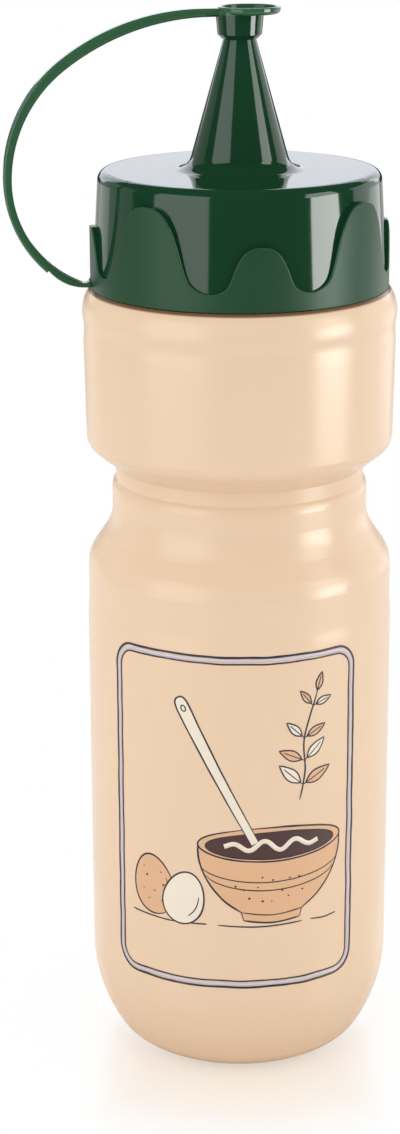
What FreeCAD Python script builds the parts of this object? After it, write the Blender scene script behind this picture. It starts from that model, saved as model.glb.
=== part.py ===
# Squeeze bottle with a scalloped nozzle cap.
#
# Two pieces, millimetres, +Z up, origin at the centre of the base:
#   bottle  one blown body: rounded heel, straight wall, waisted shoulder and
#           a finger collar whose flat top carries the cap.
#   cap     one moulding: drafted wall and deck, conical nozzle, apron with a
#           scalloped top edge, and a strap that ends in the plug over the tip.
#
# The shut pack shows no inside, so both pieces are solid. The cap is drawn in
# its own frame, seat plane at zero and strap towards +X, and is then turned.

import FreeCAD, Part
import math
import os

import Sketcher

SIZES = (
    # bottle: heel, wall and shoulder
    ("body_radius", 33.1, "outer radius of the straight wall"),
    ("heel_lower_radius", 7.5, "tight arc next to the standing ring"),
    ("heel_upper_radius", 33.5, "long arc that runs into the wall"),
    ("heel_turn_deg", 58.5, "angle where the two heel arcs meet"),
    ("ring_width", 2.4, "flat of the standing ring"),
    ("push_up_depth", 2.6, "rise of the underside inside the ring"),
    ("wall_top_height", 110.6, "where the upright wall ends"),
    ("band_height", 6.6, "narrower band at the top of the wall"),
    ("band_inset", 0.25, "how far the wall draws in to it"),
    ("band_step_rise", 4.4, "height over which it draws in"),
    ("shoulder_slope_deg", 34.2, "lean of the shoulder from upright"),
    ("shoulder_outer_arc", 6.8, "round from wall to shoulder"),
    ("shoulder_inner_arc", 10.5, "round from shoulder to waist"),
    ("waist_inset", 5.62, "depth of the finger waist"),
    ("waist_height", 4.0, "length of the straight waist"),
    # bottle: collar
    ("lip_arc", 3.2, "round of the waist under the collar"),
    ("lip_turn_deg", 41.0, "angle that this round turns"),
    ("groove_height", 3.0, "upright at the root of the groove"),
    ("underside_slope_deg", 39.0, "rise of the collar underside"),
    ("collar_corner_arc", 3.0, "round from underside to collar wall"),
    ("collar_foot_inset", 0.3, "collar inside the wall, at its foot"),
    ("collar_top_proud", 0.05, "collar outside the wall, at its top"),
    ("collar_wall_height", 20.64, "length of the collar wall"),
    ("recess_inset", 0.1, "shallow recess below the bead"),
    ("recess_drop", 3.0, "height over which the wall eases into it"),
    ("bead_proud", 0.25, "bead outside the wall"),
    ("bead_rise", 3.4, "height over which the bead swells"),
    ("bead_top_arc", 7.8, "round from the bead up to the seat"),
    # cap: wall, deck and nozzle
    ("cap_turn_deg", 188.2, "bearing of the strap from +X"),
    ("cap_setback", 1.85, "apron and seat inside the bead"),
    ("apron_foot_round", 0.3, "round on the foot of the apron"),
    ("deck_height", 24.36, "deck above the seat"),
    ("deck_setback", 1.9, "glossy wall inside the apron, at the deck"),
    ("wall_draft_deg", 3.4, "draft of the glossy wall"),
    ("deck_edge_round", 2.0, "round between wall and deck"),
    ("nozzle_foot_radius", 10.87, "cone radius at the deck"),
    ("nozzle_tip_radius", 2.5, "cone radius at the tip"),
    ("nozzle_height", 29.74, "tip above the deck"),
    ("nozzle_foot_round", 3.7, "sweep from cone to deck"),
    # cap: scalloped edge of the apron
    ("scallop_repeats", 4, "pairs of short and tall arches round the cap"),
    ("short_arch_deg", 38.0, "share of the turn under a short arch"),
    ("dip_height", 3.85, "lowest points of the edge"),
    ("short_arch_height", 13.3, "crown of a short arch"),
    ("tall_arch_drop", 3.96, "crown of a tall arch below the deck"),
    ("scallop_round", 0.25, "round along that edge"),
    ("trim_margin", 1.5, "how far the trimming ring overruns wall and apron"),
    # cap: plug over the tip
    ("tip_clearance", 0.15, "gap between nozzle and plug, square to the cone"),
    ("plug_grip", 3.0, "how far the plug comes down over the tip"),
    ("plug_wall", 1.08, "plug round its bore, at the foot"),
    ("plug_chamfer", 0.85, "chamfer at the foot of the plug"),
    ("plug_flare", 0.35, "how much wider the plug is under the tab"),
    ("tab_rise", 1.9, "underside of the thumb tab above the tip"),
    ("tab_thickness", 1.5, "thumb tab"),
    ("tab_overhang", 1.5, "thumb tab beyond the plug"),
    ("tab_offset", 1.95, "tab centre from the nozzle axis, away from strap"),
    ("tab_rim", 0.85, "wall left round the dish"),
    ("dish_depth", 0.55, "dish in the top of the tab"),
    ("tab_lower_round", 0.9, "round under the tab"),
    ("tab_upper_round", 0.3, "round on the tab's rim"),
    # cap: strap
    ("strap_width", 3.0, "strap across its bend"),
    ("strap_edge_round", 0.6, "round along the strap"),
    ("strap_reach", 17.79, "outermost point, out from the apron"),
    ("strap_outer_level", 22.91, "height of that point"),
    ("strap_inner_level", 22.47, "same level on the inner edge"),
    ("strap_side_thickness", 1.8, "thickness at the outermost point"),
    ("strap_head_thickness", 1.7, "thickness where it meets the tab"),
    ("strap_head_drop", 0.3, "strap top below the tab's top"),
    ("strap_bend_deg", 37.4, "angle where the two upper arcs of an edge meet"),
    ("outer_bend_start", 7.8, "where the outer edge leaves level, from the axis"),
    ("inner_bend_start", 5.8, "where the inner edge leaves level"),
    ("outer_lower_arc", 25.7, "outer edge, arc below the outermost point"),
    ("inner_lower_arc", 22.67, "inner edge, arc below it"),
    ("step_turn_deg", 48.2, "where the strap steps down to its hinge"),
    ("step_depth", 0.59, "depth of that step"),
    ("hinge_reach", 1.1, "level run of the hinge outside the apron"),
    ("hinge_rise", 0.5, "hinge above the seat plane"),
    ("hinge_flare", 1.3, "fillet from hinge up to the apron"),
    ("strap_root_depth", 1.4, "how far the strap is rooted in the apron"),
)

# Form of half an arch, from its crown to the dip beside it:
# (share of the half width, share of the rise). Both arches share it.
ARCH_FORM = (
    (0.00, 1.000), (0.14, 0.984), (0.27, 0.925), (0.40, 0.780), (0.50, 0.580),
    (0.57, 0.385), (0.64, 0.200), (0.74, 0.080), (0.87, 0.020), (1.00, 0.000),
)


class Dim:
    """A number together with the sheet expression that yields it."""

    def __init__(self, value, text):
        self.value = float(value)
        self.text = text

    def _join(self, other, sign, value):
        return Dim(value, "(%s %s %s)" % (self.text, sign, as_dim(other).text))

    def __add__(self, other):
        return self._join(other, "+", self.value + as_dim(other).value)

    def __sub__(self, other):
        return self._join(other, "-", self.value - as_dim(other).value)

    def __mul__(self, other):
        return self._join(other, "*", self.value * as_dim(other).value)

    def __truediv__(self, other):
        return self._join(other, "/", self.value / as_dim(other).value)

    def __radd__(self, other):
        return as_dim(other) + self

    def __rsub__(self, other):
        return as_dim(other) - self

    def __rmul__(self, other):
        return as_dim(other) * self


def as_dim(number):
    return number if isinstance(number, Dim) else Dim(number, repr(float(number)))


zero = as_dim(0)


def cosine(angle):
    return Dim(math.cos(math.radians(angle.value)), "cos(%s)" % angle.text)


def sine(angle):
    return Dim(math.sin(math.radians(angle.value)), "sin(%s)" % angle.text)


def tangent(angle):
    return Dim(math.tan(math.radians(angle.value)), "tan(%s)" % angle.text)


def root(number):
    return Dim(math.sqrt(number.value), "sqrt(%s)" % number.text)


doc = FreeCAD.newDocument("squeeze_bottle")
sheet = doc.addObject("Spreadsheet::Sheet", "sizes")
for row, (alias, value, note) in enumerate(SIZES, start=1):
    sheet.set("A%d" % row, note)
    sheet.set("B%d" % row, str(value))
    sheet.setAlias("B%d" % row, alias)
doc.recompute()


def size(alias):
    """The named size as a Dim bound to its cell."""
    return Dim(sheet.get(alias), "sizes." + alias)


def bind(feature, prop, dim):
    feature.setExpression(prop, dim.text)


def new_body(name):
    body = doc.addObject("PartDesign::Body", name)
    body.Label = name
    return body


def new_sketch(body, name, role):
    """A sketch on one of the body's own origin planes."""
    sketch = body.newObject("Sketcher::SketchObject", name)
    plane = next(f for f in body.Origin.OriginFeatures if f.Role == role)
    sketch.AttachmentSupport = [(plane, "")]
    sketch.MapMode = "FlatFace"
    return sketch


def arc_centre(start, end, radius, side):
    """Centre of the short arc from start to end; side +1 is left of travel."""
    chord = end - start
    reach = math.sqrt(radius ** 2 - (chord.Length / 2) ** 2)
    left = FreeCAD.Vector(-chord.y, chord.x, 0).normalize()
    return (start + end) / 2 + left * (reach * side)


def draw_profile(sketch, start, steps):
    """Draws a closed profile whose corners and radii are bound to the sheet.

    A step is (corner,) for a line or (corner, radius, side) for an arc, and
    the last step comes back to the start.
    """
    corners = [start] + [step[0] for step in steps[:-1]]
    ends = []
    for index, step in enumerate(steps):
        here = corners[index]
        there = corners[(index + 1) % len(corners)]
        first = FreeCAD.Vector(here[0].value, here[1].value, 0)
        second = FreeCAD.Vector(there[0].value, there[1].value, 0)
        if len(step) == 1:
            edge = sketch.addGeometry(Part.LineSegment(first, second), False)
            ends.append((edge, 1, 2))
            continue
        radius, side = step[1], step[2]
        centre = arc_centre(first, second, radius.value, side)
        begin, finish = (first, second) if side > 0 else (second, first)
        angles = [math.atan2(p.y - centre.y, p.x - centre.x) for p in (begin, finish)]
        circle = Part.Circle(centre, FreeCAD.Vector(0, 0, 1), radius.value)
        edge = sketch.addGeometry(Part.ArcOfCircle(circle, *angles), False)
        ends.append((edge, 1, 2) if side > 0 else (edge, 2, 1))
        held = sketch.addConstraint(Sketcher.Constraint("Radius", edge, radius.value))
        sketch.setExpression("Constraints[%d]" % held, radius.text)
    for index, (edge, near, far) in enumerate(ends):
        following = ends[(index + 1) % len(ends)]
        sketch.addConstraint(
            Sketcher.Constraint("Coincident", edge, far, following[0], following[1]))
        for kind, axis, place in (("DistanceX", -2, corners[index][0]),
                                  ("DistanceY", -1, corners[index][1])):
            if abs(place.value) < 1e-9:
                sketch.addConstraint(Sketcher.Constraint("PointOnObject", edge, near, axis))
                continue
            held = sketch.addConstraint(Sketcher.Constraint(kind, edge, near, place.value))
            sketch.setExpression("Constraints[%d]" % held, place.text)


def revolve(body, sketch, name):
    feature = body.newObject("PartDesign::Revolution", name)
    feature.Profile = sketch
    feature.ReferenceAxis = (sketch, ["V_Axis"])
    feature.Angle = 360
    doc.recompute()
    return feature


def pad(body, sketch, name, length, symmetric=False):
    feature = body.newObject("PartDesign::Pad", name)
    feature.Profile = sketch
    feature.Length = length.value
    bind(feature, "Length", length)
    if symmetric:
        feature.Midplane = True
    doc.recompute()
    return feature


def round_edges(body, base, name, edges, radius):
    feature = body.newObject("PartDesign::Fillet", name)
    feature.Base = (base, edges)
    feature.Radius = radius.value
    bind(feature, "Radius", radius)
    doc.recompute()
    return feature


def rings(shape, radius, height):
    """Names of the circular edges of that radius at that height."""
    found = []
    for number, edge in enumerate(shape.Edges, start=1):
        curve = edge.Curve
        if isinstance(curve, Part.Circle) and abs(curve.Radius - radius) < 1e-4 \
                and abs(curve.Center.z - height) < 1e-4:
            found.append("Edge%d" % number)
    return found


def ogee(start, end):
    """Joint and radius of the two arcs that ease one upright into another."""
    across, along = end[0] - start[0], end[1] - start[1]
    span = (across * across + along * along) / (4 * across)
    radius = span if across.value > 0 else zero - span
    return (start[0] + across / 2, start[1] + along / 2), radius


# --- bottle -----------------------------------------------------------------

body_radius = size("body_radius")
waist_radius = body_radius - size("waist_inset")
bead_radius = body_radius + size("bead_proud")
apron_radius = bead_radius - size("cap_setback")

# heel: standing ring, tight arc, long arc, then the straight wall
heel_turn = size("heel_turn_deg")
heel_low, heel_high = size("heel_lower_radius"), size("heel_upper_radius")
ring_outer = body_radius - heel_high * (1 - sine(heel_turn)) - heel_low * sine(heel_turn)
heel_joint = (ring_outer + heel_low * sine(heel_turn), heel_low * (1 - cosine(heel_turn)))
heel_top = heel_joint[1] + heel_high * cosine(heel_turn)
ring_inner = ring_outer - size("ring_width")
push_up = size("push_up_depth")
dome_radius = (ring_inner * ring_inner + push_up * push_up) / (2 * push_up)


# the wall draws in a little above the print
wall_top = size("wall_top_height")
band_foot = (body_radius - size("band_inset"), wall_top - size("band_height"))
step_foot = (body_radius, band_foot[1] - size("band_step_rise"))
band_joint, band_arc = ogee(step_foot, band_foot)

# shoulder: round, straight flank, round into the waist
slope = size("shoulder_slope_deg")
outer_arc, inner_arc = size("shoulder_outer_arc"), size("shoulder_inner_arc")
flank_start = (band_foot[0] - outer_arc * (1 - cosine(slope)),
               wall_top + outer_arc * sine(slope))
flank_end_radius = waist_radius + inner_arc * (1 - cosine(slope))
flank_end = (flank_end_radius,
             flank_start[1] + (flank_start[0] - flank_end_radius) / tangent(slope))
waist_foot = flank_end[1] + inner_arc * sine(slope)
waist_top = waist_foot + size("waist_height")

# collar: groove, sloping underside, wall, recess, bead and the flat seat
lip_arc, lip_turn = size("lip_arc"), size("lip_turn_deg")
groove_low = (waist_radius - lip_arc * (1 - cosine(lip_turn)),
              waist_top + lip_arc * sine(lip_turn))
groove_high = (groove_low[0], groove_low[1] + size("groove_height"))
underside = size("underside_slope_deg")
corner_arc = size("collar_corner_arc")
collar_low = body_radius - size("collar_foot_inset")
corner_start_radius = collar_low - corner_arc * (1 - sine(underside))
corner_start = (corner_start_radius,
                groove_high[1] + (corner_start_radius - groove_high[0]) * tangent(underside))
collar_foot = corner_start[1] + corner_arc * cosine(underside)
collar_top = (body_radius + size("collar_top_proud"),
              collar_foot + size("collar_wall_height"))
recess = (body_radius - size("recess_inset"), collar_top[1] + size("recess_drop"))
bead_arc = size("bead_top_arc")
bead_level = recess[1] + size("bead_rise")
recess_joint, recess_arc = ogee(collar_top, recess)
bead_joint, swell_arc = ogee(recess, (bead_radius, bead_level))
bead_run = bead_radius - apron_radius
seat_height = bead_level + root(bead_run * (2 * bead_arc - bead_run))

bottle = new_body("bottle")
outline = new_sketch(bottle, "bottle_outline", "XZ_Plane")
draw_profile(outline, (zero, push_up), [
    ((ring_inner, zero), dome_radius, -1),
    ((ring_outer, zero),),
    (heel_joint, heel_low, 1),
    ((body_radius, heel_top), heel_high, 1),
    (step_foot,),
    (band_joint, band_arc, 1),
    (band_foot, band_arc, -1),
    ((band_foot[0], wall_top),),
    (flank_start, outer_arc, 1),
    (flank_end,),
    ((waist_radius, waist_foot), inner_arc, -1),
    ((waist_radius, waist_top),),
    (groove_low, lip_arc, 1),
    (groove_high,),
    (corner_start,),
    ((collar_low, collar_foot), corner_arc, 1),
    (collar_top,),
    (recess_joint, recess_arc, 1),
    (recess, recess_arc, -1),
    (bead_joint, swell_arc, -1),
    ((bead_radius, bead_level), swell_arc, 1),
    ((apron_radius, seat_height), bead_arc, 1),
    ((zero, seat_height),),
    ((zero, push_up),),
])
revolve(bottle, outline, "bottle_turned")

# --- cap: wall, deck and nozzle ---------------------------------------------

deck_height = size("deck_height")
deck_radius = apron_radius - size("deck_setback")
draft = size("wall_draft_deg")
nozzle_foot, nozzle_tip = size("nozzle_foot_radius"), size("nozzle_tip_radius")
nozzle_height = size("nozzle_height")
nozzle_top = deck_height + nozzle_height
nozzle_slope = (nozzle_foot - nozzle_tip) / nozzle_height

core = new_body("cap_core")
outline = new_sketch(core, "core_outline", "XZ_Plane")
draw_profile(outline, (zero, zero), [
    ((deck_radius + deck_height * tangent(draft), zero),),
    ((deck_radius, deck_height),),
    ((nozzle_foot, deck_height),),
    ((nozzle_tip, nozzle_top),),
    ((zero, nozzle_top),),
    ((zero, zero),),
])
turned = revolve(core, outline, "core_turned")
edge_round = round_edges(core, turned, "deck_edge",
                         rings(turned.Shape, deck_radius.value, deck_height.value),
                         size("deck_edge_round"))
round_edges(core, edge_round, "nozzle_sweep",
            rings(edge_round.Shape, nozzle_foot.value, deck_height.value),
            size("nozzle_foot_round"))

# --- cap: apron with the scalloped edge -------------------------------------


tall_arch = deck_height - size("tall_arch_drop")


def scallop_edge():
    """The edge as half arches, each a list of (turn, height) from a crown to a
    dip or back up, beginning at a short arch's crown that faces +X."""
    period = 360.0 / int(round(size("scallop_repeats").value))
    half_short = size("short_arch_deg").value / 2
    half_tall = period / 2 - half_short
    dip = size("dip_height").value
    short_rise = size("short_arch_height").value - dip
    tall_rise = tall_arch.value - dip
    falling = [(u * half_short, dip + short_rise * s) for u, s in ARCH_FORM]
    rising = [(period / 2 - u * half_tall, dip + tall_rise * s)
              for u, s in reversed(ARCH_FORM)]
    back = [[(period - turn, z) for turn, z in reversed(half)]
            for half in (rising, falling)]
    starts = [index * period for index in range(int(round(360.0 / period)))]
    return [[(math.radians(start + turn), z) for turn, z in half]
            for start in starts for half in [falling, rising] + back]


def edge_wire(radius, level=None):
    """The edge on a cylinder of that radius, or its plan at one level."""
    splines = []
    for half in scallop_edge():
        points = [FreeCAD.Vector(radius * math.cos(turn), radius * math.sin(turn),
                                 z if level is None else level) for turn, z in half]
        ends = [FreeCAD.Vector(-radius * math.sin(turn), radius * math.cos(turn), 0)
                for turn, _ in (half[0], half[-1])]
        spline = Part.BSplineCurve()
        spline.interpolate(Points=points, Parameters=[turn for turn, _ in half],
                           InitialTangent=ends[0], FinalTangent=ends[1], Scale=False)
        splines.append(spline.toShape())
    return Part.Wire(splines)


def scallop_trimmer(inner, outer, top):
    """The ring of space above the edge, bounded below by its radial ledge."""
    rim = [edge_wire(inner), edge_wire(outer), edge_wire(outer, top), edge_wire(inner, top)]
    faces = [face for one, two in zip(rim, rim[1:] + rim[:1])
             for face in Part.makeRuledSurface(one, two).Faces]
    shell = Part.makeShell(faces)
    shell.sewShape()
    solid = Part.makeSolid(Part.Shell(shell.Faces))
    return solid if solid.Volume > 0 else solid.reversed()


apron_top = (tall_arch + deck_height) / 2
trim_margin = size("trim_margin").value
blank = doc.addObject("Part::Cylinder", "apron_blank")
bind(blank, "Radius", apron_radius)
bind(blank, "Height", apron_top)
# the cylinder's seam lies under a dip, clear of where the edge starts
seam = FreeCAD.Rotation(FreeCAD.Vector(0, 0, 1), size("short_arch_deg").value / 2)
blank.Placement = FreeCAD.Placement(FreeCAD.Vector(0, 0, 0), seam)
trimmer = doc.addObject("Part::Feature", "scallop_trimmer")
trimmer.Shape = scallop_trimmer(deck_radius.value - trim_margin,
                                apron_radius.value + trim_margin,
                                apron_top.value + trim_margin)
scalloped = doc.addObject("Part::Cut", "apron_scalloped")
scalloped.Base = blank
scalloped.Tool = trimmer
doc.recompute()
apron = doc.addObject("Part::Fillet", "apron")
apron.Base = scalloped


def rim_edges(shape):
    """Names of the apron's scalloped outer edges."""
    return ["Edge%d" % number for number, edge in enumerate(shape.Edges, start=1)
            if isinstance(edge.Curve, Part.BSplineCurve)
            and abs(math.hypot(*edge.valueAt(edge.FirstParameter)[:2])
                    - apron_radius.value) < 1e-4]


foot = rings(scalloped.Shape, apron_radius.value, 0.0)
apron.Edges = [(int(name[4:]), size(alias).value, size(alias).value)
               for names, alias in ((foot, "apron_foot_round"),
                                    (rim_edges(scalloped.Shape), "scallop_round"))
               for name in names]

# --- cap: plug over the tip, with its thumb tab ------------------------------

clearance = size("tip_clearance")
bore_gap = clearance * root(1 + nozzle_slope * nozzle_slope)


def bore_radius(level):
    return nozzle_foot - nozzle_slope * (level - deck_height) + bore_gap


bore_top = nozzle_top + clearance
hub_foot, chamfer = nozzle_top - size("plug_grip"), size("plug_chamfer")
hub_foot_radius = bore_radius(hub_foot) + size("plug_wall")
hub_top_radius = hub_foot_radius + size("plug_flare")
tab_low = nozzle_top + size("tab_rise")
tab_thickness = size("tab_thickness")
tab_top = tab_low + tab_thickness
hub_top = tab_low + tab_thickness / 2

plug = new_body("tip_plug")
outline = new_sketch(plug, "hub_outline", "XZ_Plane")
draw_profile(outline, (bore_radius(hub_foot), hub_foot), [
    ((hub_foot_radius - chamfer, hub_foot),),
    ((hub_foot_radius, hub_foot + chamfer),),
    ((hub_top_radius, tab_low),),
    ((hub_top_radius, hub_top),),
    ((zero, hub_top),),
    ((zero, bore_top),),
    ((bore_radius(bore_top), bore_top),),
    ((bore_radius(hub_foot), hub_foot),),
])
revolve(plug, outline, "hub")


def tab_circle(name, radius, level):
    """A circle round the tab's centre, on a plane at that level."""
    sketch = new_sketch(plug, name, "XY_Plane")
    sketch.AttachmentOffset = FreeCAD.Placement(
        FreeCAD.Vector(0, 0, level.value), FreeCAD.Rotation())
    bind(sketch, "AttachmentOffset.Base.z", level)
    offset = size("tab_offset")
    centre = FreeCAD.Vector(-offset.value, 0, 0)
    circle = sketch.addGeometry(
        Part.Circle(centre, FreeCAD.Vector(0, 0, 1), radius.value), False)
    sketch.addConstraint(Sketcher.Constraint("PointOnObject", circle, 3, -1))
    for held, dim in (
            (Sketcher.Constraint("DistanceX", circle, 3, -1, 1, offset.value), offset),
            (Sketcher.Constraint("Radius", circle, radius.value), radius)):
        bind(sketch, "Constraints[%d]" % sketch.addConstraint(held), dim)
    return sketch


tab_radius = hub_top_radius + size("tab_overhang")
dish_radius = tab_radius - size("tab_rim")
tab = pad(plug, tab_circle("tab_outline", tab_radius, tab_low), "tab", tab_thickness)
dish = plug.newObject("PartDesign::Pocket", "dish")
dish.Profile = tab_circle("dish_outline", dish_radius, tab_top)
dish.Length = size("dish_depth").value
bind(dish, "Length", size("dish_depth"))
doc.recompute()
under = round_edges(plug, dish, "tab_under",
                    rings(dish.Shape, tab_radius.value, tab_low.value),
                    size("tab_lower_round"))
round_edges(plug, under, "tab_rim_edge",
            rings(under.Shape, tab_radius.value, tab_top.value)
            + rings(under.Shape, dish_radius.value, tab_top.value),
            size("tab_upper_round"))

# --- cap: strap with its thin hinge -------------------------------------------

bend = size("strap_bend_deg")
reach = apron_radius + size("strap_reach")
root_radius = apron_radius - size("strap_root_depth")
head_x = tab_radius - size("tab_offset") - size("tab_rim") / 2
head_top = tab_top - size("strap_head_drop")


def upper_edge(begin, furthest):
    """Two tangent arcs that leave the begin point level and come upright at
    the furthest one: the first arc's radius, their joint, and the second's."""
    run, rise = furthest[0] - begin[0], begin[1] - furthest[1]
    across, along = 1 - sine(bend), 1 - cosine(bend)
    first = ((run * cosine(bend) - rise * across)
             / (sine(bend) * cosine(bend) - across * along))
    second = (rise - first * along) / cosine(bend)
    joint = (begin[0] + first * sine(bend), begin[1] - first * along)
    return first, joint, second


outer_level, inner_level = size("strap_outer_level"), size("strap_inner_level")
outer_lower, inner_lower = size("outer_lower_arc"), size("inner_lower_arc")
inner_reach = reach - size("strap_side_thickness")
inner_top = head_top - size("strap_head_thickness")
outer_start = (size("outer_bend_start"), head_top)
inner_start = (size("inner_bend_start"), inner_top)
outer_first, outer_joint, outer_upper = upper_edge(outer_start, (reach, outer_level))
inner_first, inner_joint, inner_upper = upper_edge(inner_start, (inner_reach, inner_level))

step_turn = size("step_turn_deg")
step_centre = (reach - outer_lower, outer_level)


def step_corner(radius):
    return (step_centre[0] + radius * cosine(step_turn),
            step_centre[1] - radius * sine(step_turn))


step = step_corner(outer_lower)
hinge_end = step_corner(outer_lower - size("step_depth"))
hinge_foot = (apron_radius + size("hinge_reach"), size("hinge_rise"))
hinge_run, hinge_lift = hinge_end[0] - hinge_foot[0], hinge_end[1] - hinge_foot[1]
hinge_arc = (hinge_run * hinge_run + hinge_lift * hinge_lift) / (2 * hinge_lift)

flare = size("hinge_flare")
inner_centre = inner_reach - inner_lower
flare_cosine = (apron_radius + flare - inner_centre) / (inner_lower - flare)
flare_sine = root(1 - flare_cosine * flare_cosine)
flare_foot = (inner_centre + inner_lower * flare_cosine, inner_level - inner_lower * flare_sine)
flare_top = inner_level - (inner_lower - flare) * flare_sine

strap = new_body("strap")
outline = new_sketch(strap, "strap_outline", "XZ_Plane")
draw_profile(outline, (head_x, head_top), [
    (outer_start,),
    (outer_joint, outer_first, -1),
    ((reach, outer_level), outer_upper, -1),
    (step, outer_lower, -1),
    (hinge_end,),
    (hinge_foot, hinge_arc, -1),
    ((root_radius, hinge_foot[1]),),
    ((root_radius, flare_top),),
    ((apron_radius, flare_top),),
    (flare_foot, flare, 1),
    ((inner_reach, inner_level), inner_lower, 1),
    (inner_joint, inner_upper, 1),
    (inner_start, inner_first, 1),
    ((head_x, inner_top),),
    ((head_x, head_top),),
])
band = pad(strap, outline, "band", size("strap_width"), symmetric=True)
rounded_radii = [dim.value for dim in (outer_first, outer_upper, outer_lower,
                                       inner_first, inner_upper, inner_lower)]
rounded = ["Edge%d" % number for number, edge in enumerate(band.Shape.Edges, start=1)
           if isinstance(edge.Curve, Part.Circle)
           and min(abs(edge.Curve.Radius - r) for r in rounded_radii) < 1e-4]
round_edges(strap, band, "strap_rounds", rounded, size("strap_edge_round"))

# --- the cap as one moulding, turned and seated on the collar -----------------

cap = doc.addObject("Part::MultiFuse", "cap")
cap.Shapes = [core, apron, plug, strap]
cap.Refine = True
cap.Label = "cap"
cap.Placement = FreeCAD.Placement(
    FreeCAD.Vector(0, 0, 0), FreeCAD.Rotation(FreeCAD.Vector(0, 0, 1), 1))
bind(cap, "Placement.Rotation.Angle", size("cap_turn_deg"))
bind(cap, "Placement.Base.z", seat_height)
doc.recompute()

# --- checks and export ---------------------------------------------------------

for thing in doc.Objects:
    if "Invalid" in thing.State or "Error" in thing.State:
        raise RuntimeError("%s did not build: %s" % (thing.Name, thing.State))

os.makedirs("parts", exist_ok=True)
for piece in (bottle, cap):
    shape = piece.Shape
    if shape.isNull() or not shape.isValid() or len(shape.Solids) != 1:
        raise RuntimeError("%s is not one sound solid" % piece.Label)
    shape.exportStep(os.path.join("parts", piece.Label + ".step"))
    box = shape.BoundBox
    print("%s: z %.2f to %.2f, x %.2f to %.2f, y %.2f to %.2f, faces %d" % (
        piece.Label, box.ZMin, box.ZMax, box.XMin, box.XMax, box.YMin, box.YMax,
        len(shape.Faces)))
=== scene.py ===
"""Looks of a squeeze bottle with a strapped nozzle cap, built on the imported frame.

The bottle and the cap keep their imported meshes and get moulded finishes. The
print on the wall is laid ink by ink: fields of colour cut as thin sheets, and
lines and specks grown by Geometry Nodes and bent round the wall. All sizes of
the print are in millimetres on the unrolled wall: (u, z), with u along the
girth from the middle of the front, rightwards.
"""

import logging
import math
from dataclasses import dataclass, field
from enum import Enum
from typing import Mapping, Optional, Protocol, Sequence, Union

import bmesh
import bpy
from mathutils import Matrix, Vector


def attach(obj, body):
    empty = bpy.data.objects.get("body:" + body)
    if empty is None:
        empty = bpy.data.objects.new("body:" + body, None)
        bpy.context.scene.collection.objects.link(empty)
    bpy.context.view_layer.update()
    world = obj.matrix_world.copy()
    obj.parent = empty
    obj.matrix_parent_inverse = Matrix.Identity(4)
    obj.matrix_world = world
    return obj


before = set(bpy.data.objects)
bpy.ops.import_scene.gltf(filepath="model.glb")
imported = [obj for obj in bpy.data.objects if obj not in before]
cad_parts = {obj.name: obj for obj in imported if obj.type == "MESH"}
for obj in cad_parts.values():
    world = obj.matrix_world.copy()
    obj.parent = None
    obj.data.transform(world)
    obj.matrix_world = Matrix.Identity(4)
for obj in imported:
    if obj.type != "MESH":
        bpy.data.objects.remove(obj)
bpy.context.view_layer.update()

LOG = logging.getLogger("squeeze_bottle")
MM = 0.001

Point = tuple[float, float]
Line = list[Point]
Span = tuple[float, float]
Colour = tuple[float, float, float]

WHITE: Colour = (1.0, 1.0, 1.0)
# The inks' inner face, above the wall, in metres.
INK_FOOT = 0.000003
# Angles on an ellipse, in degrees.
QUARTER = 90.0
LOWEST = 270.0


# --- node tools


class Value:
    """A float socket. Python operators on it add the Math nodes they stand for."""

    def __init__(self, graph: "Graph", socket: bpy.types.NodeSocket) -> None:
        """Wraps an output of the graph that carries one number."""
        self.graph = graph
        self.socket = socket

    def _math(self, operation: str, *terms: "Feed") -> "Value":
        """The result of one Math node on these terms."""
        settings = {"operation": operation}
        return self.graph.value("ShaderNodeMath", settings, dict(enumerate(terms)))

    def __add__(self, other: "Feed") -> "Value":
        """self + other."""
        return self._math("ADD", self, other)

    def __radd__(self, other: "Feed") -> "Value":
        """other + self."""
        return self._math("ADD", other, self)

    def __sub__(self, other: "Feed") -> "Value":
        """self - other."""
        return self._math("SUBTRACT", self, other)

    def __rsub__(self, other: "Feed") -> "Value":
        """other - self."""
        return self._math("SUBTRACT", other, self)

    def __mul__(self, other: "Feed") -> "Value":
        """self * other."""
        return self._math("MULTIPLY", self, other)

    def __rmul__(self, other: "Feed") -> "Value":
        """other * self."""
        return self._math("MULTIPLY", other, self)

    def __truediv__(self, other: "Feed") -> "Value":
        """self / other."""
        return self._math("DIVIDE", self, other)

    def __rtruediv__(self, other: "Feed") -> "Value":
        """other / self."""
        return self._math("DIVIDE", other, self)

    def __neg__(self) -> "Value":
        """-self."""
        return self._math("MULTIPLY", self, -1.0)

    def __gt__(self, other: "Feed") -> "Value":
        """1 where self is greater than other, else 0."""
        return self._math("GREATER_THAN", self, other)

    def __lt__(self, other: "Feed") -> "Value":
        """1 where self is less than other, else 0: the reflected form of other > self."""
        return self._math("LESS_THAN", self, other)

    def __abs__(self) -> "Value":
        """Size of self without its sign."""
        return self._math("ABSOLUTE", self)

    def most(self, other: "Feed") -> "Value":
        """The greater of self and other."""
        return self._math("MAXIMUM", self, other)

    def sine(self) -> "Value":
        """Sine of self, in radians."""
        return self._math("SINE", self)

    def cosine(self) -> "Value":
        """Cosine of self, in radians."""
        return self._math("COSINE", self)

    def root(self) -> "Value":
        """Square root of self."""
        return self._math("SQRT", self)

    def ramp(self, low: float, high: float) -> "Value":
        """Smooth step of self.

        Args:
            low: where the step is still 0.
            high: where it has reached 1.

        Returns:
            A value from 0 to 1.
        """
        return self.graph.value(
            "ShaderNodeMapRange",
            {"interpolation_type": "SMOOTHSTEP"},
            {"Value": self, "From Min": low, "From Max": high},
        )


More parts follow.
